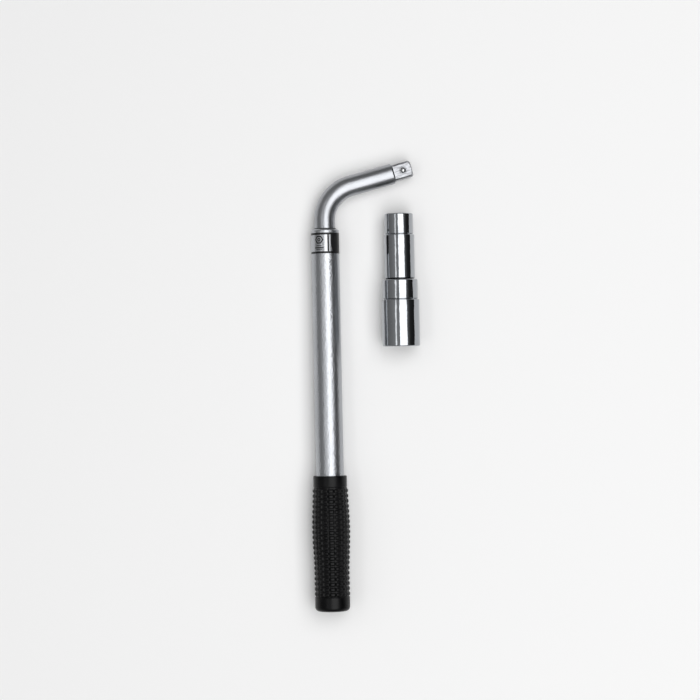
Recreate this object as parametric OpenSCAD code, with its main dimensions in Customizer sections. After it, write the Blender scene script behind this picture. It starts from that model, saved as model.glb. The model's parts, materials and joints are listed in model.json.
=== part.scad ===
// Extendable wheel-nut wrench with two double-ended sockets, lying on a flat surface.
//
// A bent steel bar with a square drive slides in a tube handle with a rubber grip.
// +Y runs up the handle to the head, the head points to +X, and +Z is up.
// The origin is under the middle of the whole outline, on the surface that it lies on.
// Inside the modules the wrench is level, with its corner at the origin: the corner is
// where the centre lines of handle and head cross. lie() sets it down on the surface.

/* [Bar] */
// Diameter of the round steel bar
bar_d = 16.4; // [16:0.1:16.6]
// Angle between the head and the line of the handle, in degrees
bend_angle = 75; // [68:1:80]
// Radius of the bend's centre line
bend_r = 28; // [24:1:30]
// From the corner to the tip of the drive
head_len = 72; // [66:1:76]
// Across the flats of the square drive, the half-inch size
drive_af = 12.7; // [12.6:0.05:12.7]
// Length of the square drive
drive_len = 15.5; // [14:0.5:16]

/* [Detent] */
// Diameter of the ball that holds a socket on the drive
ball_d = 4.8; // [4.4:0.2:5]
// How far the ball stands out of the drive's flat
ball_out = 1.1; // [0.9:0.1:1.2]
// From the tip of the drive to the middle of the ball
ball_from_tip = 7; // [6:0.5:8]

/* [Handle] */
// Outside diameter of the handle tube
tube_d = 22; // [22:0.5:23]
// Wall of the handle tube
tube_wall = 1.5; // [1.4:0.1:1.6]
// Length of the handle tube
tube_len = 299; // [290:1:310]
// From the corner to the mouth of the tube, with the handle pushed in
mouth_at = 28.6; // [28:0.2:32]
// How far the handle pulls out
travel = 170; // [150:5:180]
// Length of the bush in the mouth of the tube
bush_len = 18.4; // [16:0.2:20]

/* [Grip] */
// Length of the grip
grip_len = 107; // [106:1:112]
// Diameter of the plain collar at the top of the grip
collar_d = 26.6; // [26:0.2:27]
// Diameter of the slimmest ring on the grip
ring_d = 28; // [27.6:0.2:28.4]
// Extra diameter of the grip at its swell
swell = 2.3; // [1.5:0.1:2.5]
// Number of rings round the grip
ring_count = 21; // [19:1:21]

/* [Sockets] */
// Across the flats of the hexagons of the small socket
small_hex = [17, 19];
// Outside diameters of the small socket at those hexagons
small_d = [22.6, 24];
// Lengths of those two ends of the small socket
small_len = [16.6, 35.1];
// Across the flats of the hexagons of the large socket
large_hex = [21, 23];
// Outside diameters of the large socket at those hexagons
large_d = [27.8, 29.8];
// Lengths of those two ends of the large socket
large_len = [15.8, 37.1];
// Sideways from the handle to the sockets
socket_x = 58.7; // [56:0.1:64]

/* [Hidden] */
$fn = 64;

// Fits: radial room of a sliding part, of a fixed part, and between parts that never touch
run = 0.05;
fixed = 0.01;
room = 0.3;

// Bar. The straight head is a hair slimmer than the bend, and starts a little way inside it
bar_r = bar_d / 2;
head_r = bar_r - 0.05;
head_lap = 1;
bend_start = bend_r * tan(bend_angle / 2);
drive_at = head_len - drive_len;
drive_chamfer = 1.6;
drive_tip_r = 5.9;
neck_r = 7;

// Detent: the pocket's lip is narrower than the ball
ball_r = ball_d / 2;
ball_z = drive_af / 2 + ball_out - ball_r;
pocket_r = ball_r + run;
pocket_floor = -1.5;
lip_depth = 0.4;
lip_ball_r = sqrt(ball_r * ball_r - pow(drive_af / 2 - lip_depth - ball_z, 2));
lip_r = lip_ball_r + run;
spring_wire = 0.5;
spring_r = ball_r - 0.7;
spring_turns = 5;

// Tube
tube_r = tube_d / 2;
bore_r = tube_r - tube_wall;
rim_t = 1.5;
rim_r = bar_r + room;
rim_roll = 1.6;
end_at = mouth_at + tube_len;

// Inner end of the bar: sleeve, washer and ring on a neck, above the end plug
plug_depth = 4.8;
plug_flange = 1;
stop_at = mouth_at + rim_t + bush_len + travel + 0.1;
bar_end = end_at - plug_depth - room;
ring_wire = 1.6;
groove_at = bar_end - 3;
washer_t = 1;
washer_at = groove_at - ring_wire / 2 - washer_t - run;
sleeve_at = stop_at;
sleeve_len = washer_at - run - sleeve_at;
sleeve_r = bore_r - run;
sleeve_land = 22;
sleeve_relief = 0.5;
friction_t = 1.2;
friction_w = 3;
friction_at = sleeve_at + sleeve_land / 2;

// Grip
grip_end = end_at + plug_flange + 2.3;
grip_at = grip_end - grip_len;
collar_len = 8.7;
ring_pitch = 4.07;
ring_h = 0.9;
ring_base = 2.9;
ring_crest = 1.5;
swell_ring = 7.5;
swell_rings = 9;
end_band_r = 13.85;
end_round = 3.5;
function ring_at(i) = grip_at + 11.9 + i * ring_pitch;
function bulge(i) = abs(i - swell_ring) < swell_rings ? pow(cos(90 * (i - swell_ring) / swell_rings), 2) : 0;
function ring_r(i) = (ring_d + swell * bulge(i)) / 2;

// Label
label_at = mouth_at + 3.1;
label_len = 16.5;
label_t = 0.12;
label_r = tube_r + fixed + label_t;

// Sockets
square_af = 12.8;
square_corner_r = 8.47;
web = 14.7;
ball_groove_r = 7.4;
ball_groove_w = 4.4;
step_groove = 0.8;
socket_gap = 0.6;
small_at = 17.3;
large_at = small_at + small_len[0] + small_len[1] + socket_gap;

// The wrench rests on the label's upper edge, on one ring of the grip and on the head
rest_slopes = [for (i = [0 : ring_count - 1])
    (ring_r(i) - label_r) / (ring_at(i) - ring_crest / 2 - label_at)];
pitch = atan(max(rest_slopes));
corner_z = label_r * cos(pitch) - label_at * sin(pitch);
roll = asin((corner_z - drive_at * cos(bend_angle) * sin(pitch) - head_r)
            / (drive_at * sin(bend_angle) * cos(pitch)));

// Middle of the outline, seen from above, measured from the corner
left = -ring_r(floor(swell_ring));
right = socket_x + max(large_d) / 2;
top = (head_len - drive_chamfer) * cos(bend_angle) + drive_af / 2 * sin(bend_angle);
mid_x = (left + right) / 2;
mid_y = (top - grip_end) / 2;

// Sets the level wrench down on the surface
module lie() {
    translate([-mid_x, -mid_y, corner_z])
        rotate([-pitch, 0, 0])
        rotate([0, roll, 0])
        children();
}

// Local +Z runs down the handle, from a point that far below the corner
module down_handle(at) {
    translate([0, -at, 0])
        rotate([90, 0, 0])
        children();
}

// Local +Z runs along the head to its tip, from a point that far from the corner.
// Local -Y is up. The frame turns about the bend's centre, so it meets the bend exactly.
module along_head(at) {
    translate([bend_r, -bend_start, 0])
        rotate([0, 0, -bend_angle])
        translate([-bend_r, at - bend_start, 0])
        rotate([-90, 0, 0])
        children();
}

// A tube with its axis on Z
module pipe(r_out, r_in, length) {
    difference() {
        cylinder(r = r_out, h = length);
        translate([0, 0, -1])
            cylinder(r = r_in, h = length + 2);
    }
}

// ---------- bar ----------

// Straight stretch in the handle, with the neck for the sleeve and the ring's groove
module inner_bar() {
    shoulder = stop_at - bend_start;
    groove = groove_at - bend_start;
    tail = bar_end - bend_start;
    half = ring_wire / 2 + fixed;
    down_handle(bend_start)
        rotate_extrude()
        polygon([[0, 0], [bar_r, 0], [bar_r, shoulder - 0.8], [bar_r - 0.8, shoulder], [neck_r, shoulder],
                 [neck_r, groove - half], [neck_r - half, groove - half], [neck_r - half, groove + half],
                 [neck_r, groove + half], [neck_r, tail - 1], [neck_r - 1, tail], [0, tail]]);
}

module bend() {
    translate([bend_r, -bend_start, 0])
        rotate_extrude(angle = bend_angle, start = 180 - bend_angle)
        translate([bend_r, 0])
        circle(r = bar_r);
}

// Square drive milled on the round bar, with a coned tip
module square_drive() {
    body = drive_len - drive_chamfer;
    along_head(drive_at)
        intersection() {
            rotate_extrude()
                polygon([[0, 0], [head_r, 0], [head_r, body], [drive_tip_r, drive_len], [0, drive_len]]);
            translate([-drive_af / 2, -drive_af / 2, 0])
                cube([drive_af, drive_af, drive_len]);
        }
}

// Stepped hole in the drive's upper flat: pocket and narrower lip
module detent_pocket() {
    along_head(head_len - ball_from_tip)
        rotate([90, 0, 0]) {
            translate([0, 0, pocket_floor])
                cylinder(r = pocket_r, h = drive_af / 2 - lip_depth - pocket_floor, $fn = 32);
            translate([0, 0, pocket_floor])
                cylinder(r = lip_r, h = drive_af / 2 - pocket_floor + 2, $fn = 32);
        }
}

module shank_bar() {
    color([0.78, 0.79, 0.8])
        lie()
        difference() {
            union() {
                inner_bar();
                bend();
                along_head(bend_start - head_lap)
                    cylinder(r = head_r, h = drive_at - bend_start + head_lap);
                square_drive();
            }
            detent_pocket();
        }
}

module detent_ball() {
    color([0.85, 0.86, 0.88])
        lie()
        along_head(head_len - ball_from_tip)
        translate([0, -ball_z, 0])
        sphere(r = ball_r, $fn = 48);
}

// Round wire swept along a helix: rings of points, then the side faces and the two ends
module coil(r, wire, length, turns) {
    sides = 8;
    steps = 14 * turns;
    rise = length - wire;
    points = [for (k = [0 : steps], j = [0 : sides - 1])
        let (t = 360 * turns * k / steps, a = 360 * j / sides, q = r + wire / 2 * cos(a))
        [q * cos(t), q * sin(t), wire / 2 + rise * k / steps + wire / 2 * sin(a)]];
    walls = [for (k = [0 : steps - 1], j = [0 : sides - 1])
        let (n = (j + 1) % sides)
        [k * sides + j, (k + 1) * sides + j, (k + 1) * sides + n, k * sides + n]];
    first = [for (j = [0 : sides - 1]) j];
    last = [for (j = [sides - 1 : -1 : 0]) steps * sides + j];
    polyhedron(points, concat([first], walls, [last]));
}

module detent_spring() {
    color([0.55, 0.56, 0.58])
        lie()
        along_head(head_len - ball_from_tip)
        rotate([90, 0, 0])
        translate([0, 0, pocket_floor + 0.02])
        coil(spring_r, spring_wire, ball_z - ball_r - pocket_floor + 0.25, spring_turns);
}

// ---------- sleeve on the bar's inner end ----------

// Slides in the tube on its two lands, and stops the handle against the bush
module guide_sleeve() {
    slim = sleeve_r - sleeve_relief;
    groove_r = sleeve_r - friction_t - run;
    groove_w = friction_w + 2 * run;
    color([0.9, 0.88, 0.82])
        lie()
        down_handle(sleeve_at)
        difference() {
            pipe(sleeve_r, neck_r + run, sleeve_len);
            translate([0, 0, sleeve_land])
                pipe(sleeve_r + 1, slim, sleeve_len - 2 * sleeve_land);
            translate([0, 0, friction_at - sleeve_at - groove_w / 2])
                pipe(sleeve_r + 1, groove_r, groove_w);
        }
}

// Split spring ring that rubs in the tube and holds the handle where it is pulled
module friction_ring() {
    color([0.45, 0.46, 0.48])
        lie()
        down_handle(friction_at - friction_w / 2)
        rotate_extrude(angle = 342)
        translate([bore_r - run / 2 - friction_t, 0])
        square([friction_t, friction_w]);
}

module thrust_washer() {
    color([0.7, 0.71, 0.73])
        lie()
        down_handle(washer_at)
        pipe(bore_r - 0.4, neck_r + run, washer_t);
}

// Round-wire snap ring in the bar's groove
module retaining_ring() {
    color([0.4, 0.41, 0.43])
        lie()
        down_handle(groove_at)
        rotate_extrude(angle = 330)
        translate([neck_r, 0])
        circle(r = ring_wire / 2, $fn = 24);
}

// ---------- handle ----------

// Seamless tube whose mouth is rolled in over the bush
module handle_tube() {
    rolled = [for (a = [0 : 15 : 90]) [tube_r - rim_roll * (1 - sin(a)), rim_roll * (1 - cos(a))]];
    color([0.74, 0.75, 0.77])
        lie()
        down_handle(mouth_at)
        rotate_extrude()
        polygon(concat([[rim_r, 0]], rolled,
                       [[tube_r, tube_len], [bore_r, tube_len], [bore_r, rim_t], [rim_r, rim_t]]));
}

module mouth_bush() {
    color([0.15, 0.15, 0.16])
        lie()
        down_handle(mouth_at + rim_t)
        pipe(bore_r - fixed, bar_r + run, bush_len);
}

// Closes the tube, and the bar's end lands on it
module end_plug() {
    color([0.15, 0.15, 0.16])
        lie()
        down_handle(end_at - plug_depth)
        union() {
            cylinder(r = bore_r - fixed, h = plug_depth);
            translate([0, 0, plug_depth])
                cylinder(r = tube_r - 0.2, h = plug_flange);
        }
}

// Rubber grip: plain collar, swelled body with rings round it, and a rounded closed end
module grip() {
    round_at = grip_len - end_round;
    collar_r = collar_d / 2;
    body = [for (i = [0 : ring_count - 1])
        let (z = ring_at(i) - grip_at, r = ring_r(i))
        each [[r - ring_h, z - ring_base / 2], [r, z - ring_crest / 2],
              [r, z + ring_crest / 2], [r - ring_h, z + ring_base / 2]]];
    band_at = ring_at(ring_count - 1) - grip_at + ring_pitch * 0.7;
    rounded = [for (a = [0 : 15 : 90])
        [end_band_r - end_round * (1 - cos(a)), round_at + end_round * sin(a)]];
    color([0.1, 0.1, 0.11])
        lie()
        down_handle(grip_at)
        difference() {
            rotate_extrude()
                polygon(concat([[0, 0], [collar_r - 0.8, 0], [collar_r, 0.8], [collar_r, collar_len]],
                               body, [[end_band_r, band_at]], rounded, [[0, grip_len]]));
            translate([0, 0, -1])
                cylinder(r = tube_r + fixed, h = end_at - grip_at + 1 + plug_flange + fixed);
        }
}

// Foil label wrapped round the tube below its mouth
module label_band() {
    color([0.82, 0.83, 0.85])
        lie()
        down_handle(label_at)
        pipe(label_r, tube_r + fixed, label_len);
}

// ---------- sockets ----------

// Six-sided recess with a coned mouth, opening towards local -Z
module hex_recess(af, depth) {
    across = af / cos(30);
    translate([0, 0, -1])
        cylinder(d = across, h = depth + 1, $fn = 6);
    translate([0, 0, -0.01])
        cylinder(d1 = across + 0.6, d2 = af - 0.6, h = 2.2);
}

// Double-ended socket along Z: the small hexagon at Z 0, a square hole between the two
module socket(hex, d, length) {
    total = length[0] + length[1];
    depth_a = length[0] + 0.6;
    depth_b = total - depth_a - web;
    edge = 1;
    r = d / 2;
    groove_r = r[0] - 0.4;
    difference() {
        rotate_extrude()
            polygon([[0, 0], [r[0] - edge, 0], [r[0], edge], [r[0], length[0] - step_groove],
                     [groove_r, length[0] - step_groove], [groove_r, length[0]], [r[1] - 0.5, length[0]],
                     [r[1], length[0] + 0.5], [r[1], total - edge], [r[1] - edge, total], [0, total]]);
        hex_recess(hex[0], depth_a);
        translate([0, 0, total])
            mirror([0, 0, 1])
            hex_recess(hex[1], depth_b);
        intersection() {
            translate([-square_af / 2, -square_af / 2, 0])
                cube([square_af, square_af, total]);
            cylinder(r = square_corner_r, h = total);
        }
        translate([0, 0, depth_a + web / 2 - ball_groove_w / 2])
            cylinder(r = ball_groove_r, h = ball_groove_w);
    }
}

// Lays a socket beside the handle, on its wider end, with its small end to the head
module lay_socket(at, widest) {
    translate([socket_x - mid_x, -at - mid_y, widest / 2])
        rotate([90, 0, 0])
        children();
}

module socket_17_19() {
    color([0.7, 0.71, 0.73])
        lay_socket(small_at, max(small_d))
        socket(small_hex, small_d, small_len);
}

module socket_21_23() {
    color([0.7, 0.71, 0.73])
        lay_socket(large_at, max(large_d))
        socket(large_hex, large_d, large_len);
}

shank_bar();
detent_ball();
detent_spring();
guide_sleeve();
friction_ring();
thrust_washer();
retaining_ring();
handle_tube();
mouth_bush();
end_plug();
grip();
label_band();
socket_17_19();
socket_21_23();
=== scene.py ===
"""Looks of a lug wrench: a bent chrome bar that slides in a tube handle, and two loose double-ended sockets.

Shapes are worked out in millimetres along the wrench's own axes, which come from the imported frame, and are
set down in the row frame, in metres, when a mesh is made.
"""
import json
import math

import bmesh
import bpy
from mathutils import Matrix, Vector


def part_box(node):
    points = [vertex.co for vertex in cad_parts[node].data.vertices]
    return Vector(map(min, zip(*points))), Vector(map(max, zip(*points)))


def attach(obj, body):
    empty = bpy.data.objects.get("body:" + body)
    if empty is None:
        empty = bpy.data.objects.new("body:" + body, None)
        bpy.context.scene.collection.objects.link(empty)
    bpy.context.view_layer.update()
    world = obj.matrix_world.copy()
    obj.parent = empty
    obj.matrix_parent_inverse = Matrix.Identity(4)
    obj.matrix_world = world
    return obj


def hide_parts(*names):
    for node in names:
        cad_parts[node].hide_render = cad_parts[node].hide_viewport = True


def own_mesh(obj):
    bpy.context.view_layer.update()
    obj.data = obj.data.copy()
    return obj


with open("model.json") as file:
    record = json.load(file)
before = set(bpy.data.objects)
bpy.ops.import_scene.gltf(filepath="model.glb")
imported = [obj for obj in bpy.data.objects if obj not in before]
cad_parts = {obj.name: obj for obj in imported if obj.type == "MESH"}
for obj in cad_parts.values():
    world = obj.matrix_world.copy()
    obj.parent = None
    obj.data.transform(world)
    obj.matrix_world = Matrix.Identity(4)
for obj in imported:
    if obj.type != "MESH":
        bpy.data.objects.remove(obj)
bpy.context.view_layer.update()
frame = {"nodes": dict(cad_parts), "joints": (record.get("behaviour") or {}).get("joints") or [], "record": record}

MM = 0.001
TURN = 2 * math.pi
# Points round a turned piece
ROUND_SIDES = 192

# ---------- the wrench's axes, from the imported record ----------

joints = {joint["name"]: joint for joint in frame["joints"]}
mounts = {mount["name"]: mount for mount in frame["record"]["mounts"]}
down = Vector(joints["handle_extend"]["axis"]).normalized()
on_handle = Vector(joints["handle_swivel"]["pos_m"])
along = Vector(mounts["drive_square"]["axis"]).normalized()
tip = Vector(mounts["drive_square"]["pos_m"])


def crossing(point_a, axis_a, point_b, axis_b):
    """The point of line a that is nearest to line b."""
    apart = point_b - point_a
    slant = axis_a.dot(axis_b)
    reach = (apart.dot(axis_a) - slant * apart.dot(axis_b)) / (1 - slant * slant)
    return point_a + reach * axis_a


def placed(x_axis, y_axis, z_axis, origin):
    """Matrix that takes millimetres along three axes to the row frame."""
    turn = Matrix((x_axis, y_axis, z_axis)).transposed().to_4x4()
    return Matrix.Translation(origin) @ turn @ Matrix.Scale(MM, 4)


corner = crossing(on_handle, down, tip, along)
up = along.cross(-down).normalized()
wrench = placed((-down).cross(up), -down, up, corner)
# Local +Z runs down the handle or along a socket, and local +Y is up
handle = placed(up.cross(down), up, down, corner)
bend_angle = math.acos(-down.dot(along))
head_len = (tip - corner).length / MM


def spread(node, axes, upto=math.inf):
    """From, to and largest radius, in millimetres, of a CAD node along the Z of some axes, up to a height."""
    back = axes.inverted()
    points = [back @ vertex.co for vertex in frame["nodes"][node].data.vertices]
    points = [point for point in points if point.z < upto]
    heights = [point.z for point in points]
    return min(heights), max(heights), max(math.hypot(point.x, point.y) for point in points)


# ---------- meshes ----------


def steps(first, last, count):
    """Evenly spaced values from first to last, count steps apart."""
    return [first + (last - first) * k / count for k in range(count + 1)]


def polar(radius, angle, z=0):
    """Point at an angle about the Z axis."""
    return Vector((radius * math.cos(angle), radius * math.sin(angle), z))


def circle(radius, z, count):
    """Ring of points, counter-clockwise about +Z."""
    return [polar(radius, TURN * j / count, z) for j in range(count)]


def revolve(profile, count=ROUND_SIDES):
    """Rings for (radius, z) points; a point on the axis becomes a single point."""
    return [[Vector((0, 0, z))] if radius == 0 else circle(radius, z, count) for radius, z in profile]


def loft(rings, loop=False):
    """Points and faces of the skin over rings of one size, or of one point each at an end."""
    points, faces, starts = [], [], []
    for ring in rings:
        starts.append(len(points))
        points.extend(ring)
    pairs = list(zip(range(len(rings) - 1), range(1, len(rings))))
    if loop:
        pairs.append((len(rings) - 1, 0))
    for a, b in pairs:
        from_a, from_b = starts[a], starts[b]
        count = max(len(rings[a]), len(rings[b]))
        for j in range(count):
            k = (j + 1) % count
            if len(rings[a]) == 1:
                faces.append((from_a, from_b + k, from_b + j))
            elif len(rings[b]) == 1:
                faces.append((from_a + j, from_a + k, from_b))
            else:
                faces.append((from_a + j, from_a + k, from_b + k, from_b + j))
    return points, faces


def merged(shapes):
    """Points and faces of several shapes as one."""
    points, faces = [], []
    for shape_points, shape_faces in shapes:
        start = len(points)
        points += shape_points
        faces += [tuple(start + index for index in face) for face in shape_faces]
    return points, faces


def supported(profile, closed=False):
    """Profile with extra points near the ends of its long stretches, so that those are shaded straight."""
    near = 0.3
    following = profile[1:] + profile[:1] if closed else profile[1:]
    result = []
    for (r_a, z_a), (r_b, z_b) in zip(profile, following):
        result.append((r_a, z_a))
        length = math.hypot(r_b - r_a, z_b - z_a)
        if length > 3 * near:
            for share in (near / length, 1 - near / length):
                result.append((r_a + (r_b - r_a) * share, z_a + (z_b - z_a) * share))
    return result if closed else [*result, profile[-1]]


def arc(centre, radius, first, last, count):
    """Points (radius, z) of an arc in a profile; angles in degrees from +radius towards +z."""
    angles = [math.radians(degrees) for degrees in steps(first, last, count)]
    return [(centre[0] + radius * math.cos(a), centre[1] + radius * math.sin(a)) for a in angles]


def raw_object(name, points, faces):
    """Object in millimetres, at the origin, before it is set down."""
    mesh = bpy.data.meshes.new(name)
    mesh.from_pydata([tuple(point) for point in points], [], faces)
    piece = bpy.data.objects.new(name, mesh)
    bpy.context.scene.collection.objects.link(piece)
    return piece


def cut(piece, cutter):
    """Takes the cutter's shape out of the piece, and removes the cutter."""
    modifier = piece.modifiers.new("cut", "BOOLEAN")
    modifier.operation = "DIFFERENCE"
    modifier.solver = "EXACT"
    modifier.object = cutter
    graph = bpy.context.evaluated_depsgraph_get()
    piece.data = bpy.data.meshes.new_from_object(piece.evaluated_get(graph))
    piece.modifiers.clear()
    bpy.data.objects.remove(cutter)


def finish_piece(piece, axes, material, body, nodes, unrolled=None, sharp=32):
    """Smooths and sets down a piece, and keeps each point's unbent place for the material's grain.

    Edges that turn by more than sharp degrees stay sharp.
    """
    mesh = piece.data
    places = [unrolled(vertex.co) if unrolled else vertex.co.copy() for vertex in mesh.vertices]
    grain = mesh.attributes.new("unrolled", "FLOAT_VECTOR", "POINT")
    grain.data.foreach_set("vector", [c for place in places for c in place])
    work = bmesh.new()
    work.from_mesh(mesh)
    bmesh.ops.recalc_face_normals(work, faces=work.faces)
    for edge in work.edges:
        edge.smooth = edge.calc_face_angle(0) < math.radians(sharp)
    for face in work.faces:
        face.smooth = True
    work.transform(axes)
    work.to_mesh(mesh)
    work.free()
    mesh.materials.clear()
    mesh.materials.append(material)
    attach(piece, body)
    if nodes:
        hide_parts(*nodes)
    return piece


# ---------- materials ----------


class Surface:
    """A Principled material whose grain follows each point's place in millimetres.

    That place is the "unrolled" one that finish_piece keeps, or on a CAD node the "object" one.
    """

    def __init__(self, name, color, metallic, roughness, place="unrolled"):
        """Starts with one colour and roughness, and with no relief."""
        self.material = bpy.data.materials.new(name)
        self.material.use_nodes = True
        self.tree = self.material.node_tree
        self.shader = self.tree.nodes["Principled BSDF"]
        self.set("Base Color", (*color, 1))
        self.set("Metallic", metallic)
        self.set("Roughness", roughness)
        self.color = color
        self.base = None
        self.height = None
        if place == "unrolled":
            attribute = self.node("ShaderNodeAttribute", attribute_name="unrolled")
            self.place = attribute.outputs["Vector"]
        else:
            scale = self.node("ShaderNodeVectorMath", operation="SCALE")
            scale.inputs["Scale"].default_value = 1 / MM
            self.link(self.node("ShaderNodeTexCoord").outputs["Object"], scale.inputs[0])
            self.place = scale.outputs["Vector"]

    def set(self, socket, value):
        """Gives a socket of the shader a constant."""
        self.shader.inputs[socket].default_value = value

    def node(self, kind, **settings):
        """Adds a node."""
        made = self.tree.nodes.new(kind)
        for setting, value in settings.items():
            setattr(made, setting, value)
        return made

    def link(self, output, socket):
        """Joins two nodes."""
        self.tree.links.new(output, socket)

    def noise(self, size, stretch=1, detail=2):
        """Noise of a grain size in millimetres, drawn out along the axis by stretch."""
        mapping = self.node("ShaderNodeMapping")
        mapping.inputs["Scale"].default_value = (1 / size, 1 / size, 1 / (size * stretch))
        texture = self.node("ShaderNodeTexNoise")
        texture.inputs["Scale"].default_value = 1
        texture.inputs["Detail"].default_value = detail
        self.link(self.place, mapping.inputs["Vector"])
        self.link(mapping.outputs["Vector"], texture.inputs["Vector"])
        return texture.outputs["Fac"]

    def ranged(self, value, low, high, to_low, to_high):
        """A value brought from one range to another, and kept inside it."""
        limits = {"From Min": low, "From Max": high, "To Min": to_low, "To Max": to_high}
        remap = self.node("ShaderNodeMapRange")
        for name, number in limits.items():
            remap.inputs[name].default_value = number
        self.link(value, remap.inputs["Value"])
        return remap.outputs["Result"]

    def joined(self, operation, a, b):
        """Math on two values, each a node's output or a number."""
        math_node = self.node("ShaderNodeMath", operation=operation)
        for socket, value in zip(math_node.inputs, (a, b)):
            if isinstance(value, (int, float)):
                socket.default_value = value
            else:
                self.link(value, socket)
        return math_node.outputs["Value"]

    def rough(self, value):
        """Takes the roughness from a node."""
        self.link(value, self.shader.inputs["Roughness"])

    def tinted(self, factor, color):
        """Mixes another colour in where factor is high, over the mixes made before."""
        mix = self.node("ShaderNodeMix", data_type="RGBA")
        mix.inputs["A"].default_value = (*self.color, 1)
        mix.inputs["B"].default_value = (*color, 1)
        if self.base:
            self.link(self.base, mix.inputs["A"])
        self.base = mix.outputs["Result"]
        self.link(factor, mix.inputs["Factor"])
        self.link(self.base, self.shader.inputs["Base Color"])

    def bump(self, value, depth):
        """Adds relief of a depth in millimetres to the relief made before."""
        bump = self.node("ShaderNodeBump")
        bump.inputs["Distance"].default_value = depth * MM
        bump.inputs["Strength"].default_value = 1
        self.link(value, bump.inputs["Height"])
        if self.height:
            self.link(self.height, bump.inputs["Normal"])
        self.height = bump.outputs["Normal"]
        self.link(self.height, self.shader.inputs["Normal"])


def bar_chrome():
    """Satin chrome with fine rub marks along the bar."""
    s = Surface("bar_chrome", (0.37, 0.38, 0.40), 1, 0.3)
    rubs = s.noise(0.5, stretch=40, detail=4)
    cloud = s.noise(9, stretch=2, detail=3)
    s.rough(s.joined("ADD", s.ranged(cloud, 0.3, 0.7, 0.28, 0.34), s.ranged(rubs, 0.55, 0.8, 0, 0.10)))
    s.tinted(s.ranged(cloud, 0.35, 0.75, 0, 1), (0.335, 0.345, 0.363))
    s.bump(s.noise(2.2, stretch=1.6, detail=2), 0.06)
    s.bump(s.noise(0.4, stretch=1.3, detail=2), 0.006)
    s.bump(rubs, 0.002)
    # Marks that the milling cutter leaves across the drive, and dull streaks along it
    split = s.node("ShaderNodeSeparateXYZ")
    s.link(s.place, split.inputs["Vector"])
    shoulder = on_head(drive_at)
    milled = s.ranged(split.outputs["Z"], shoulder + 1, shoulder + 2, 0, 1)
    s.bump(s.joined("MULTIPLY", s.noise(5, stretch=0.07, detail=3), milled), 0.03)
    streaks = s.ranged(s.noise(0.9, stretch=5, detail=3), 0.42, 0.62, 0.1, 1)
    s.tinted(s.joined("MULTIPLY", streaks, milled), (0.20, 0.20, 0.21))
    # Painted shade in the corner where the flats start, darkening the flat where the shoulder shades it
    across, upward = (s.joined("MULTIPLY", split.outputs[axis], split.outputs[axis]) for axis in "XY")
    off_axis = s.joined("POWER", s.joined("ADD", across, upward), 0.5)
    corner_from = s.ranged(split.outputs["Z"], shoulder - 0.1, shoulder + 0.1, 0, 1)
    corner_to = s.ranged(split.outputs["Z"], shoulder + 0.8, shoulder + 1.2, 1, 0)
    in_flat = s.ranged(off_axis, head_r - 0.2, head_r - 0.05, 1, 0)
    shoulder_shade_mask = s.joined("MULTIPLY", corner_from, corner_to)
    # Near-black painted shade over that corner of the flat
    s.tinted(s.joined("MULTIPLY", shoulder_shade_mask, in_flat), (0.05, 0.05, 0.052))
    return s.material


def tube_chrome():
    """Satin plating over drawn tube, with a fine orange-peel grain."""
    s = Surface("tube_chrome", (0.41, 0.422, 0.443), 1, 0.3)
    peel = s.noise(1.5, stretch=1.15, detail=2)
    fine = s.noise(0.35, stretch=3, detail=3)
    cloud = s.noise(12, stretch=3, detail=3)
    s.rough(s.joined("ADD", s.ranged(cloud, 0.3, 0.7, 0.26, 0.32), s.ranged(fine, 0.4, 0.7, 0, 0.06)))
    s.tinted(s.ranged(cloud, 0.35, 0.75, 0, 1), (0.375, 0.386, 0.406))
    s.bump(peel, 0.27)
    s.bump(fine, 0.006)
    return s.material


def socket_chrome():
    """Polished chrome with a slight wave and hairline scratches."""
    s = Surface("socket_chrome", (0.395, 0.41, 0.43), 1, 0.07)
    hair = s.noise(0.25, stretch=25, detail=4)
    cloud = s.noise(7, stretch=2, detail=3)
    s.rough(s.joined("ADD", s.ranged(cloud, 0.3, 0.7, 0.05, 0.1), s.ranged(hair, 0.6, 0.8, 0, 0.1)))
    s.tinted(s.ranged(cloud, 0.4, 0.8, 0, 1), (0.365, 0.379, 0.398))
    s.bump(s.noise(3.5, stretch=1.6, detail=1), 0.06)
    s.bump(s.noise(1.3, stretch=1.8, detail=2), 0.02)
    return s.material


def socket_bore():
    """Thin, dull plating over the drawn and broached walls inside a socket."""
    s = Surface("socket_bore", (0.30, 0.305, 0.315), 1, 0.4)
    drawn = s.noise(0.35, stretch=30, detail=4)
    cloud = s.noise(4, stretch=2, detail=3)
    s.rough(s.joined("ADD", s.ranged(cloud, 0.3, 0.7, 0.34, 0.46), s.ranged(drawn, 0.5, 0.8, 0, 0.1)))
    s.tinted(s.ranged(cloud, 0.35, 0.75, 0, 1), (0.20, 0.20, 0.205))
    s.bump(drawn, 0.01)
    return s.material


def grip_rubber():
    """Black moulded rubber, with a dull bloom in places."""
    s = Surface("grip_rubber", (0.002, 0.002, 0.0023), 0, 0.4)
    skin = s.noise(0.22, detail=3)
    cloud = s.noise(8, detail=4)
    s.rough(s.ranged(cloud, 0.3, 0.7, 0.26, 0.38))
    s.tinted(s.ranged(cloud, 0.45, 0.8, 0, 1), (0.005, 0.005, 0.0055))
    s.set("Specular IOR Level", 0.16)
    s.bump(skin, 0.02)
    return s.material


def label_foil():
    """Silver print film."""
    s = Surface("label_foil", (0.43, 0.44, 0.46), 1, 0.3)
    s.rough(s.ranged(s.noise(3, detail=3), 0.3, 0.7, 0.26, 0.34))
    s.bump(s.noise(4, stretch=2, detail=1), 0.01)
    return s.material


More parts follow.
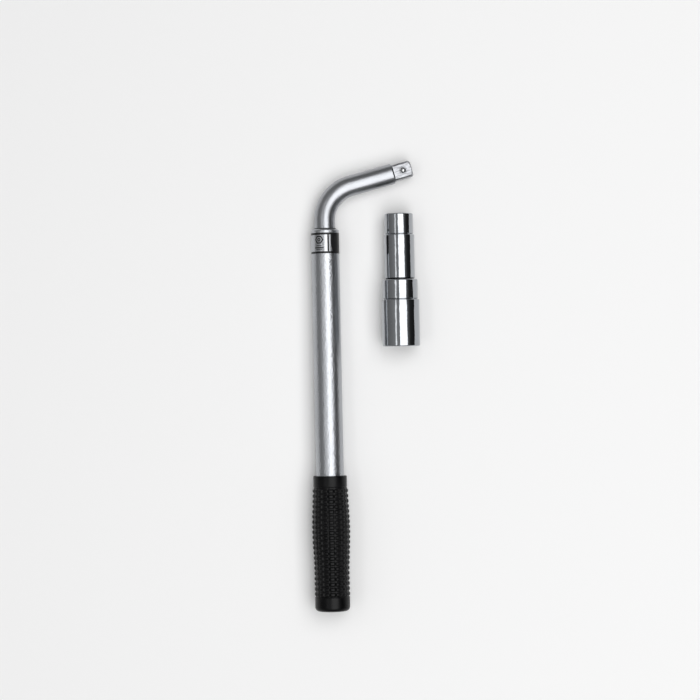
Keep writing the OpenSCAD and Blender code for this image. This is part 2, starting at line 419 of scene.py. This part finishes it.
def label_ink():
    """Black print on the film."""
    s = Surface("label_ink", (0.008, 0.008, 0.009), 0, 0.35)
    s.set("Specular IOR Level", 0.3)
    s.rough(s.ranged(s.noise(1.5, detail=3), 0.3, 0.7, 0.3, 0.4))
    s.tinted(s.ranged(s.noise(0.8, detail=2), 0.6, 0.8, 0, 1), (0.025, 0.025, 0.027))
    return s.material


def plain_steel(name, color, roughness):
    """Machined steel with a fine turned grain."""
    s = Surface(name, color, 1, roughness, place="object")
    grain = s.noise(0.3, detail=4)
    s.rough(s.ranged(grain, 0.3, 0.7, roughness - 0.05, roughness + 0.08))
    s.tinted(s.ranged(s.noise(2, detail=2), 0.4, 0.8, 0, 1), tuple(c * 0.85 for c in color))
    s.bump(grain, 0.003)
    return s.material


def moulded_plastic(name, color, shade):
    """Moulded plastic with a fine matte skin."""
    s = Surface(name, color, 0, 0.5, place="object")
    skin = s.noise(0.3, detail=3)
    s.rough(s.ranged(skin, 0.3, 0.7, 0.45, 0.58))
    s.tinted(s.ranged(s.noise(5, detail=3), 0.4, 0.8, 0, 1), shade)
    s.bump(skin, 0.01)
    return s.material


# ---------- bar ----------

BEND_R = 28
DRIVE_AF = 12.7
DRIVE_LEN = 15.5
DRIVE_CHAMFER = 1.6
DRIVE_TIP_R = 5.9
BALL_FROM_TIP = 7
BALL_POCKET_R = 2.45
NECK_R = 7
# How much smaller the radius of the head is than that of the rest of the bar
HEAD_RELIEF = 0.05
# Rounding where a milled flat meets the round corner
FLAT_BLEND = 0.25

bend_start = BEND_R * math.tan(bend_angle / 2)
bend_len = BEND_R * bend_angle
bar_end = spread("shank_bar", handle)[1]
sleeve_from = spread("guide_sleeve", handle)[0]
ring_from, ring_to, _ = spread("retaining_ring", handle)
head_r = mounts["drive_shank"]["dims"]["r_mm"]
bar_r = head_r + HEAD_RELIEF
drive_at = head_len - DRIVE_LEN


def on_straight(below):
    """Travel along the bar, from the start of the bend, of a point so far below the corner."""
    return bend_start - below


def on_head(beyond):
    """Travel along the bar, from the start of the bend, of a point of the head so far from the corner."""
    return bend_len - bend_start + beyond


def bar_centre(travelled):
    """Centre, direction and sideways axis of the bar, that far past the start of the bend."""
    if travelled <= 0:
        angle, rest = 0, travelled
    else:
        angle, rest = min(travelled, bend_len) / BEND_R, max(travelled - bend_len, 0)
    side = Vector((-math.cos(angle), math.sin(angle), 0))
    ahead = Vector((math.sin(angle), math.cos(angle), 0))
    pivot = Vector((BEND_R, -bend_start, 0))
    return pivot + side * BEND_R + ahead * rest, ahead, side


def bar_angles(radius, half):
    """Angles round the bar, closer together where a milled flat meets the round corners."""
    reach = half / radius if half and radius < head_r else DRIVE_AF / 2 / head_r
    edge = math.acos(min(reach, 1))
    flat = [edge * share for share in (0, 0.12, 0.24, 0.36, 0.48, 0.6, 0.7, 0.8, 0.88, 0.94, 0.975, 1)]
    rounded = [edge + (math.pi / 4 - edge) * share for share in (0.12, 0.3, 0.6, 1)]
    offsets = [*flat, *rounded]
    quarter = [-offset for offset in reversed(offsets[1:-1])] + offsets
    return [math.pi / 2 * k + offset for k in range(4) for offset in quarter]


def squared(radius, half, angle):
    """Distance from the axis of a round bar milled to a square, with a little rounding where they meet."""
    reach = half / max(abs(math.cos(angle)), abs(math.sin(angle)))
    soft = max(FLAT_BLEND - abs(reach - radius), 0) / FLAT_BLEND
    return min(reach, radius) - soft * soft * FLAT_BLEND / 4


def bar_section(travelled, radius, half=None):
    """Ring of points round the bar, milled to a square if half its width is given."""
    centre, _, side = bar_centre(travelled)
    ring = []
    for angle in bar_angles(radius, half):
        reach = squared(radius, half, angle) if half else radius
        ring.append(centre + side * reach * math.cos(angle) + Vector((0, 0, reach * math.sin(angle))))
    return ring


def bar_unrolled(point):
    """Where a point of the bar would be if the bar were straight."""
    away = point - Vector((BEND_R, -bend_start, 0))
    if away.y <= 0:
        return Vector((point.x, point.z, away.y))
    angle = min(math.atan2(away.y, -away.x), bend_angle)
    centre, ahead, side = bar_centre(angle * BEND_R)
    off = point - centre
    return Vector((-off.dot(side), point.z, angle * BEND_R + off.dot(ahead)))


def straight_rings():
    """Rings of the bar from its inner end, with its neck and ring groove, round the bend to the head."""
    end_chamfer, shoulder_chamfer = 1, 0.8
    groove_r = NECK_R - (ring_to - ring_from) / 2
    shoulder = sleeve_from - shoulder_chamfer
    inner_end = [(bar_end, 2.0), (bar_end, NECK_R - end_chamfer), (bar_end - end_chamfer, NECK_R),
                 (ring_to, NECK_R), (ring_to, groove_r), (ring_from, groove_r), (ring_from, NECK_R),
                 (sleeve_from, NECK_R), (sleeve_from, bar_r - shoulder_chamfer), (shoulder, bar_r)]
    rings = [[bar_centre(on_straight(bar_end))[0]]]
    rings += [bar_section(on_straight(below), radius) for below, radius in inner_end]
    rings += [bar_section(travelled, bar_r) for travelled in steps(on_straight(shoulder), 0, 24)[1:-1]]
    rings += [bar_section(travelled, bar_r) for travelled in steps(0, bend_len, 48)]
    return rings


def head_rings():
    """Rings of the head: its round part, the shoulder and run-out of the flats, and the chamfered drive."""
    rings = []
    for k, beyond in enumerate(steps(bend_start, drive_at - 1, 8)[1:], 1):
        rings.append(bar_section(on_head(beyond), bar_r - HEAD_RELIEF * min(k / 2, 1)))
    # The shoulder's rounded edge, and the curve that the milling cutter leaves where it starts
    edge, runout, half, full = 0.25, 1.5, DRIVE_AF / 2, head_r + 0.1
    for angle in steps(0, math.pi / 2, 5):
        beyond = drive_at - edge * (1 - math.sin(angle))
        rings.append(bar_section(on_head(beyond), head_r, full - edge * (1 - math.cos(angle))))
    for angle in steps(0, math.pi / 2, 12):
        beyond = drive_at + 0.02 + runout * (1 - math.cos(angle))
        rings.append(bar_section(on_head(beyond), head_r, half + runout * (1 - math.sin(angle))))
    flat_end = head_len - DRIVE_CHAMFER
    for beyond in steps(drive_at + runout, flat_end, 6)[1:]:
        rings.append(bar_section(on_head(beyond), head_r, half))
    for share in steps(0, 1, 20)[1:]:
        radius = head_r + (DRIVE_TIP_R - head_r) * share
        rings.append(bar_section(on_head(flat_end + DRIVE_CHAMFER * share), radius, half))
    # The turned tip, with the mark of a centre drill
    end = on_head(head_len)
    centre_mark = ((0, DRIVE_TIP_R - 0.4), (0, 2.4), (0.1, 1.2))
    rings += [bar_section(end - depth, radius) for depth, radius in centre_mark]
    rings.append([bar_centre(end - 1)[0]])
    return rings


def cut_round(piece, axes, profile, loop=False):
    """Cuts a turned shape out of the piece."""
    sides = 64
    points, faces = loft(revolve(profile, sides), loop)
    cut(piece, raw_object("cutter", [axes @ point for point in points], faces))


def make_bar():
    """The bent bar, from its inner end to the tip of its square drive."""
    bar = raw_object("bar", *loft(straight_rings() + head_rings()))
    towards_tip = Vector((math.sin(bend_angle), math.cos(bend_angle), 0))
    ball_axes = Matrix.Translation(towards_tip * (head_len - BALL_FROM_TIP))
    top, pocket_r, bottom = DRIVE_AF / 2, BALL_POCKET_R, -1.5
    # Pocket for the ball, its rim staked in, and the groove that the staking tool leaves round it
    pocket = [(0, bottom), (pocket_r, bottom), (pocket_r, top - 0.4), (pocket_r - 0.17, top - 0.2),
              (pocket_r - 0.12, top - 0.05), (pocket_r + 0.05, top + 0.5), (0, top + 0.5)]
    staking = [(pocket_r + 0.2, top + 0.2), (pocket_r + 0.45, top - 0.2),
               (pocket_r + 0.6, top - 0.2), (pocket_r + 0.95, top + 0.2)]
    cut_round(bar, ball_axes, pocket)
    cut_round(bar, ball_axes, staking, loop=True)
    return finish_piece(bar, wrench, bar_chrome(), "shank", ["shank_bar"],
                        unrolled=bar_unrolled)


def make_spring(steel):
    """Coil spring under the ball, made at the length of the CAD spring; nothing here shortens it as the ball goes
    in.
    """
    seat = wrench @ Matrix.Translation(bar_centre(on_head(head_len - BALL_FROM_TIP))[0])
    first, last, outer = spread("detent_spring", seat)
    wire_r, turns, per_turn, around = 0.25, 5, 32, 12
    coil_r = outer - wire_r
    wire = circle(wire_r, 0, around)
    rings = []
    for k, height in enumerate(steps(first + wire_r, last - wire_r, turns * per_turn)):
        angle = TURN * k / per_turn
        rings.append([polar(coil_r + point.x, angle, height + point.y) for point in wire])
    ends = [[sum(ring, Vector()) / around] for ring in (rings[0], rings[-1])]
    spring = raw_object("spring", *loft([ends[0], *rings, ends[1]]))
    finish_piece(spring, seat, steel, "shank", ["detent_spring"])
    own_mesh(spring)
    return spring


# ---------- tube and label ----------


def turned(name, profile):
    """Object of a closed (radius, z) profile turned about Z."""
    return raw_object(name, *loft(revolve(supported(profile, closed=True)), loop=True))


def make_tube():
    """Handle tube, its mouth rolled in towards the bar."""
    mouth, end, tube_r = spread("handle_tube", handle)
    wall, roll, easing = 1.5, 1.6, 0.25
    bore_r, rim_r = tube_r - wall, bar_r + 0.3
    profile = [(rim_r + easing, mouth), *arc((tube_r - roll, mouth + roll), roll, -90, 0, 10)]
    profile += [(tube_r, z) for z in steps(mouth + roll, end, 30)[1:]]
    profile += [(bore_r, end), (bore_r, mouth + wall), (rim_r, mouth + wall), (rim_r, mouth + easing)]
    tube = turned("tube", profile)
    return finish_piece(tube, handle, tube_chrome(), "handle", ["handle_tube"])


def make_lip(plastic):
    """Thin wiping lip of the bush, put out past the mouth as a dark piece that stands in for the shadow in the gap
    where the bar enters the tube; it shows as a dark line there.
    """
    mouth = spread("handle_tube", handle)[0]
    inner, neck, outer, easing = bar_r + 0.1, bar_r + 0.28, bar_r + 0.75, 0.15
    front, back, end = mouth - 0.7, mouth - 0.02, mouth + 1.45
    profile = [(inner, front), (outer - easing, front), (outer, front + easing), (outer, back),
               (neck, back), (neck, end), (inner, end)]
    lip = turned("lip", profile)
    return finish_piece(lip, handle, plastic, "handle", [])


def make_label():
    """Foil band round the tube."""
    first, last, outer = spread("label_band", handle)
    inner, edge, easing = outer - 0.12, outer - 0.03, 0.05
    profile = [(inner, first), (edge, first), (outer, first + easing)]
    profile += [(outer, z) for z in steps(first + easing, last - easing, 6)[1:]]
    profile += [(edge, last), (inner, last)]
    label = turned("label", profile)
    return finish_piece(label, handle, label_foil(), "handle", ["label_band"])


def wrapped(rows, radius, thick, closed=False):
    """Thin closed patch on a cylinder. Rows hold (sideways, down) points; sideways 0 is the upper line."""
    def on_tube(point, reach):
        """The place of a point at some distance from the tube's axis."""
        return polar(reach, math.pi / 2 - point[0] / radius, point[1])

    loops = [[on_tube(point, radius + thick) for point in row]
             + [on_tube(point, radius - thick) for point in reversed(row)] for row in rows]
    points, faces = loft(loops, loop=closed)
    if not closed:
        count = len(loops[0])
        for start, order in ((0, -1), (len(points) - count, 1)):
            for j in range(count // 2 - 1):
                quad = (start + j, start + j + 1, start + count - 2 - j, start + count - 1 - j)
                faces.append(quad[::order])
    return points, faces


def make_label_print():
    """Plain print on the band: end lines, a hexagon nut, bars below it, a divider and a dark panel."""
    first, last, radius = spread("label_band", handle)
    ink, line, edge, middle = 0.02, 1.6, 0.06, -5.4
    top, bottom = first + line, last - line

    def block(left, right, high, low):
        """Four-sided patch, with points about every 0.4 mm across."""
        count = max(1, round((right - left) / 0.4))
        return wrapped([[(side, high), (side, low)] for side in steps(left, right, count)], radius, ink)

    def outline(height, inner, outer, count, sides=0):
        """Broad line round a many-sided or a round shape."""
        rows = []
        for angle in (TURN * k / count for k in range(count)):
            reach = 1
            if sides:
                reach = math.cos(math.pi / sides) / math.cos(angle % (TURN / sides) - math.pi / sides)
            rows.append([(middle + r * reach * math.cos(angle), height + r * reach * math.sin(angle))
                         for r in (inner, outer)])
        return wrapped(rows, radius, ink, closed=True)

    patches = []
    around = [TURN * radius * k / 180 for k in range(180)]
    for high in (first + edge, bottom - edge):
        rows = [[(side, high), (side, high + line)] for side in around]
        patches.append(wrapped(rows, radius, ink, closed=True))
    nut_at, nut_r, nut_line, hole_r, hole_line = first + 5.6, 3.6, 1.15, 1.4, 0.8
    patches.append(outline(nut_at, nut_r - nut_line, nut_r, 48, sides=6))
    patches.append(outline(nut_at, hole_r - hole_line, hole_r, 40))
    bars_at, bar_pitch, bars = first + 10, 1.5, ((4.6, 0.5), (7.4, 0.9), (5.4, 0.5))
    for k, (width, thick) in enumerate(bars):
        high = bars_at + bar_pitch * k
        patches.append(block(middle - width / 2, middle + width / 2, high, high + thick))
    divider_left, divider_right = 1.4, 2.9
    patches.append(block(divider_left, divider_right, top, bottom))
    # The panel's left edge slants away over its lower part
    panel_left, panel_right, slant, slant_from = 4.3, 26, 1.4, 0.6
    panel = []
    for share, height in zip(steps(0, 1, 24), steps(top, bottom, 24)):
        left = panel_left + slant * max(share - slant_from, 0) / (1 - slant_from)
        panel.append([(side, height) for side in steps(left, panel_right, 50)])
    patches.append(wrapped(panel, radius, ink))
    print_piece = raw_object("label_print", *merged(patches))
    return finish_piece(print_piece, handle, label_ink(), "handle", [])


# ---------- grip ----------

KNOB_COLUMNS = 18
RING_COUNT = 21
RING_PITCH = 4.07
FIRST_RING = 11.9
RING_HEIGHT = 0.9
# Low rib along each column, between its knobs
RIB_HEIGHT = 0.1
RING_R = 14.0
# The grip is thickest at one ring, and swells towards it over some rings on both sides
SWELL = 1.15
SWELL_RING = 7.5
SWELL_RINGS = 9
COLLAR_R = 13.3
COLLAR_LEN = 8.7
END_BAND_R = 13.85
END_ROUND = 3.5


def soft_step(value, zero_at, one_at):
    """0 at one value, 1 at another, and smooth between."""
    share = min(max((value - zero_at) / (one_at - zero_at), 0), 1)
    return share * share * (3 - 2 * share)


def grip_radius(z, angle):
    """Radius of the grip, that far below its upper edge."""
    ring = (z - FIRST_RING) / RING_PITCH
    nearest = min(max(round(ring), 0), RING_COUNT - 1)
    off_swell = min(abs(ring - SWELL_RING) / SWELL_RINGS, 1)
    swell = math.cos(math.pi / 2 * off_swell) ** 2
    crest = RING_R + SWELL * swell
    off_ring = abs(ring - nearest) * RING_PITCH
    pitch = TURN / KNOB_COLUMNS
    off_column = abs((angle - math.pi / 2 + pitch / 2) % pitch - pitch / 2) * crest
    # Full height near the middle of a knob, falling off with the distance from its column and its ring
    across = soft_step(off_column, 2.5, 1.4)
    knob = soft_step(off_ring, 1.85, 0.6) * across
    rib = RIB_HEIGHT * across
    return crest - RING_HEIGHT + rib + (RING_HEIGHT - rib) * knob


def grip_ring(z, count):
    """Ring round the knobs, that far below the upper edge."""
    return [polar(grip_radius(z, angle), angle, z) for angle in (TURN * j / count for j in range(count))]


def make_grip():
    """Rubber grip with knobs in straight rows, a plain collar and a rounded, closed end."""
    top, end, _ = spread("grip", handle)
    bore_r = spread("handle_tube", handle)[2] + 0.01
    length = end - top
    end_wall, rim, shoulder, dish = 2.3, 0.7, 0.4, 0.4
    points_per_column, rings_per_knob = 14, 12
    count = KNOB_COLUMNS * points_per_column
    collar = [(bore_r, 0), *arc((COLLAR_R - rim, rim), rim, -90, 0, 6), (COLLAR_R, 3), (COLLAR_R, 6)]
    collar += arc((COLLAR_R - shoulder, COLLAR_LEN - shoulder), shoulder, 0, 90, 4)
    knobs_from, knobs_to = FIRST_RING - 2.6, FIRST_RING + (RING_COUNT - 1) * RING_PITCH + 2
    knob_rings = round((knobs_to - knobs_from) / (RING_PITCH / rings_per_knob))
    closed_end = [(END_BAND_R - 0.1, knobs_to + 0.35), (END_BAND_R, knobs_to + 0.7)]
    closed_end += [(END_BAND_R, z) for z in steps(knobs_to + 1.2, length - END_ROUND - 0.3, 4)]
    closed_end += arc((END_BAND_R - END_ROUND, length - END_ROUND), END_ROUND, 0, 90, 12)
    closed_end += [(7, length), (5.2, length), (4.8, length - dish), (0.8, length - dish), (0, length - dish)]
    outside = revolve(collar, count)
    outside += [grip_ring(z, count) for z in steps(knobs_from, knobs_to, knob_rings)]
    outside += revolve(closed_end, count)
    bore_end = length - end_wall
    inside = revolve([(0, bore_end), (2, bore_end), (bore_r, bore_end), (bore_r, 0)], count)
    grip = raw_object("grip_sleeve", *merged([loft(outside), loft(inside)]))
    # Joins the bore to the outside at the upper edge
    weld = bmesh.new()
    weld.from_mesh(grip.data)
    bmesh.ops.remove_doubles(weld, verts=weld.verts, dist=1e-5)
    weld.to_mesh(grip.data)
    weld.free()
    axes = handle @ Matrix.Translation((0, 0, top))
    return finish_piece(grip, axes, grip_rubber(), "handle", ["grip"], sharp=50)


# ---------- sockets ----------

SQUARE_AF = 12.8
SQUARE_CORNER_R = 8.47
# How far the corners of a hexagon are cut back
HEX_EASING = 0.15
# The wall between the two hexagons, and the groove in it that the ball snaps into
WEB = 14.7
GROOVE_R = 7.4
GROOVE_W = 4.4
# How deep the mouth of a hexagon is opened out
MOUTH = 2.2
SIDES = 144


def hexagon(af, z, cone_r=0):
    """Ring on a hexagon with its corners along X, opened out by a cone of some radius at this height."""
    half = math.pi / 6
    # Points lie closer together where the cone's curve meets the flat
    meets = math.acos(min(af / 2 / cone_r, 1)) if cone_r else half / 2
    meets = min(max(meets, 0.1 * half), 0.9 * half)
    count = SIDES // 24
    offsets = [*steps(0, meets, count), *steps(meets, half, count)[1:]]
    offsets = [-offset for offset in reversed(offsets)] + offsets[1:-1]
    corner_r = af / 2 / math.cos(half) - HEX_EASING
    ring = []
    for middle in (TURN / 6 * (side + 0.5) for side in range(6)):
        for offset in offsets:
            reach = max(min(af / 2 / math.cos(offset), corner_r), cone_r)
            ring.append(polar(reach, middle + offset, z))
    return ring


def square(af, corner_r, z):
    """Ring on a square whose corners are rounded about the axis."""
    ring = []
    for angle in (TURN * j / SIDES for j in range(SIDES)):
        reach = min(af / 2 / max(abs(math.cos(angle)), abs(math.sin(angle))), corner_r)
        ring.append(polar(reach, angle, z))
    return ring


def recess_rings(af, depth):
    """Rings from the mouth of a hexagonal recess, at Z 0, down to the web."""
    mouth_r = af / 2 / math.cos(math.pi / 6) + 0.3
    rings = [circle(mouth_r, 0, SIDES)]
    for angle in steps(math.pi / 6, 0, 10):
        cone_r = af / 2 / math.cos(angle)
        rings.append(hexagon(af, MOUTH * (mouth_r - cone_r) / (mouth_r - af / 2), cone_r))
    rings += [hexagon(af, z) for z in (MOUTH + 0.2, depth / 2, depth - 0.5, depth - 0.3)]
    rings.append(hexagon(af - 0.5, depth))
    return rings


def shifted(rings, offset, flip=False):
    """Rings moved along Z, or mirrored in Z first."""
    way = -1 if flip else 1
    return [[Vector((point.x, point.y, offset + way * point.z)) for point in ring] for ring in rings]


def web_rings(middle):
    """Rings through the square hole of the web, from its far face to its near one, past the ball's groove."""
    chamfer, ramp = 0.5, 0.3
    half = [(SQUARE_AF + 2 * chamfer, SQUARE_CORNER_R + chamfer, WEB / 2),
            (SQUARE_AF, SQUARE_CORNER_R, WEB / 2 - chamfer),
            (SQUARE_AF, SQUARE_CORNER_R, GROOVE_W / 2),
            (2 * GROOVE_R, SQUARE_CORNER_R, GROOVE_W / 2 - ramp)]
    return ([square(af, corner_r, middle + off) for af, corner_r, off in half]
            + [square(af, corner_r, middle - off) for af, corner_r, off in reversed(half)])


def make_socket(node, name, hexes, lengths, material, bore):
    """Double-ended socket, its first hexagon at local Z 0.

    The lengths are those of its narrow part, with the first hexagon, and of its wide part, with the second.
    """
    low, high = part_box(node)
    origin = Vector(((low.x + high.x) / 2, high.y, (low.z + high.z) / 2))
    axes = placed(Vector((1, 0, 0)), Vector((0, 0, 1)), Vector((0, -1, 0)), origin)
    step, total = lengths[0], sum(lengths)
    wide = spread(node, axes)[2]
    narrow = spread(node, axes, upto=step - 2)[2]
    edge, shoulder, groove = 1, 0.4, 0.6
    outside = arc((narrow - edge, edge), edge, -90, 0, 8)
    outside += [(narrow, step - 0.8), (narrow - groove, step - 0.25), (narrow - groove, step - 0.05)]
    outside += [(wide - 0.5, step + 0.25), *arc((wide - shoulder, step + 0.65), shoulder, -60, 0, 4)]
    outside += [(wide, (step + total) / 2), *arc((wide - edge, total - edge), edge, 0, 90, 8)]
    outer_rings = revolve(supported(outside), SIDES)
    web_at = step + 0.6
    second = shifted(recess_rings(hexes[1], total - web_at - WEB), total, flip=True)
    first = recess_rings(hexes[0], web_at)
    rings = outer_rings + second + web_rings(web_at + WEB / 2) + first[::-1]
    socket = raw_object(name, *loft(rings, loop=True))
    finish_piece(socket, axes, material, node, [node])
    socket.data.materials.append(bore)
    for index in range(len(outer_rings) * SIDES, (len(rings) - 1) * SIDES):
        socket.data.polygons[index].material_index = 1
    return socket


# ---------- floor, light and camera ----------

LAMP_HEIGHT = 2.4


def make_floor():
    """Plain pale floor."""
    s = Surface("floor_paint", (0.87, 0.87, 0.87), 0, 0.7, place="object")
    s.set("Specular IOR Level", 0.2)
    half = 4
    corners = [(-half, -half, 0), (half, -half, 0), (half, half, 0), (-half, half, 0)]
    floor = raw_object("floor", corners, [(0, 1, 2, 3)])
    floor.data.materials.append(s.material)
    return floor


def softbox(name, first, last, length, offset, brightness):
    """Level lamp over the object, its middle offset along Y.

    It reaches from one angle off the vertical to another, in degrees to the right as seen from the origin.
    """
    light = bpy.data.lights.new(name, "AREA")
    light.shape = "RECTANGLE"
    left, right = (LAMP_HEIGHT * math.tan(math.radians(angle)) for angle in (first, last))
    light.size, light.size_y = right - left, length
    light.energy = brightness * math.pi * light.size * light.size_y
    lamp = bpy.data.objects.new(name, light)
    lamp.location = ((left + right) / 2, offset, LAMP_HEIGHT)
    bpy.context.scene.collection.objects.link(lamp)
    return lamp


def shine_on(lamp, piece):
    """Keeps a lamp's light to one piece."""
    lit = bpy.data.collections.new(lamp.name + "_on")
    lit.objects.link(piece)
    lamp.light_linking.receiver_collection = lit


def make_world():
    """Dim grey surroundings, darkest low on the right, and darker towards both ends of the handle."""
    world = bpy.data.worlds.new("surroundings")
    world.use_nodes = True
    tree = world.node_tree
    background = tree.nodes["Background"]
    place = tree.nodes.new("ShaderNodeTexCoord")
    split = tree.nodes.new("ShaderNodeSeparateXYZ")
    ramp = tree.nodes.new("ShaderNodeValToRGB")
    # How far to the right, from -1 to 1, and how bright it is there
    stops = ((-1, 0.24), (-0.65, 0.38), (0.3, 0.34), (0.62, 0.24), (0.84, 0.035), (1, 0.02))
    while len(ramp.color_ramp.elements) < len(stops):
        ramp.color_ramp.elements.new(0.5)
    for element, (rightward, level) in zip(ramp.color_ramp.elements, stops):
        element.position = (rightward + 1) / 2
        element.color = (level, level, level, 1)
    halved = tree.nodes.new("ShaderNodeMapRange")
    halved.inputs["From Min"].default_value = -1
    tree.links.new(place.outputs["Generated"], split.inputs["Vector"])
    tree.links.new(split.outputs["X"], halved.inputs["Value"])
    tree.links.new(halved.outputs["Result"], ramp.inputs["Fac"])
    squared_y = tree.nodes.new("ShaderNodeMath")
    squared_y.operation = "MULTIPLY"
    for socket in squared_y.inputs[:2]:
        tree.links.new(split.outputs["Y"], socket)
    strength = tree.nodes.new("ShaderNodeMapRange")
    strength.inputs["To Min"].default_value = 1
    strength.inputs["To Max"].default_value = 0.4
    tree.links.new(squared_y.outputs["Value"], strength.inputs["Value"])
    tree.links.new(ramp.outputs["Color"], background.inputs["Color"])
    tree.links.new(strength.outputs["Result"], background.inputs["Strength"])
    bpy.context.scene.world = world


def make_camera():
    """Looks straight down, from far enough away to show little perspective."""
    distance, view_width, sensor = 1.8, 0.5556, 36
    # The middle of the view, at about the height of the bar's axis, and the view turned by about a degree
    target = Vector((-0.0113, 0.0286, 0.011))
    camera_up = Vector((0.0211, 0.9998, 0)).normalized()
    camera = bpy.data.cameras.new("camera")
    camera.sensor_width = sensor
    camera.lens = sensor * distance / view_width
    holder = bpy.data.objects.new("camera", camera)
    back = Vector((0, 0, 1))
    right = camera_up.cross(back).normalized()
    turn = Matrix((right, back.cross(right), back)).transposed().to_4x4()
    holder.matrix_world = Matrix.Translation(target + back * distance) @ turn
    bpy.context.scene.collection.objects.link(holder)
    bpy.context.scene.camera = holder


# ---------- scene ----------

make_bar()
tube = make_tube()
make_label()
make_label_print()
make_grip()
shine = socket_chrome()
bore = socket_bore()
make_socket("socket_17_19", "socket_small", (17, 19), (16.6, 35.1), shine, bore)
make_socket("socket_21_23", "socket_large", (21, 23), (15.8, 37.1), shine, bore)

dark_plastic = moulded_plastic("black_plastic", (0.02, 0.02, 0.022), (0.03, 0.03, 0.033))
spring_steel = plain_steel("spring_steel", (0.30, 0.30, 0.31), 0.3)
make_spring(spring_steel)
# Dark lip at the mouth, standing in for the shadow in the gap round the bar
make_lip(dark_plastic)
CAD_LOOKS = {
    "detent_ball": plain_steel("ball_steel", (0.55, 0.56, 0.57), 0.12),
    "friction_ring": spring_steel,
    "retaining_ring": spring_steel,
    "thrust_washer": plain_steel("plain_steel", (0.45, 0.45, 0.46), 0.32),
    "guide_sleeve": moulded_plastic("sleeve_plastic", (0.70, 0.67, 0.60), (0.62, 0.59, 0.52)),
    "mouth_bush": dark_plastic,
    "end_plug": dark_plastic,
}
for node, material in CAD_LOOKS.items():
    for slot in frame["nodes"][node].material_slots:
        slot.material = material

floor = make_floor()
make_world()
make_camera()
softbox("key", -7, 37.5, length=4, offset=-0.25, brightness=2.55)
softbox("strip", -34, -26, length=3, offset=-0.25, brightness=1.5)
# From the left, so that the shadows on the floor stay soft on both sides
shine_on(softbox("floor_fill", -60, -12, length=4, offset=0, brightness=0.25), floor)
# Widens the satin tube's highlight to the left; on polished metal it would show as a second edge
shine_on(softbox("tube_glow", -21, -7, length=4, offset=-0.25, brightness=0.6), tube)
bpy.context.scene.view_settings.view_transform = "Standard"
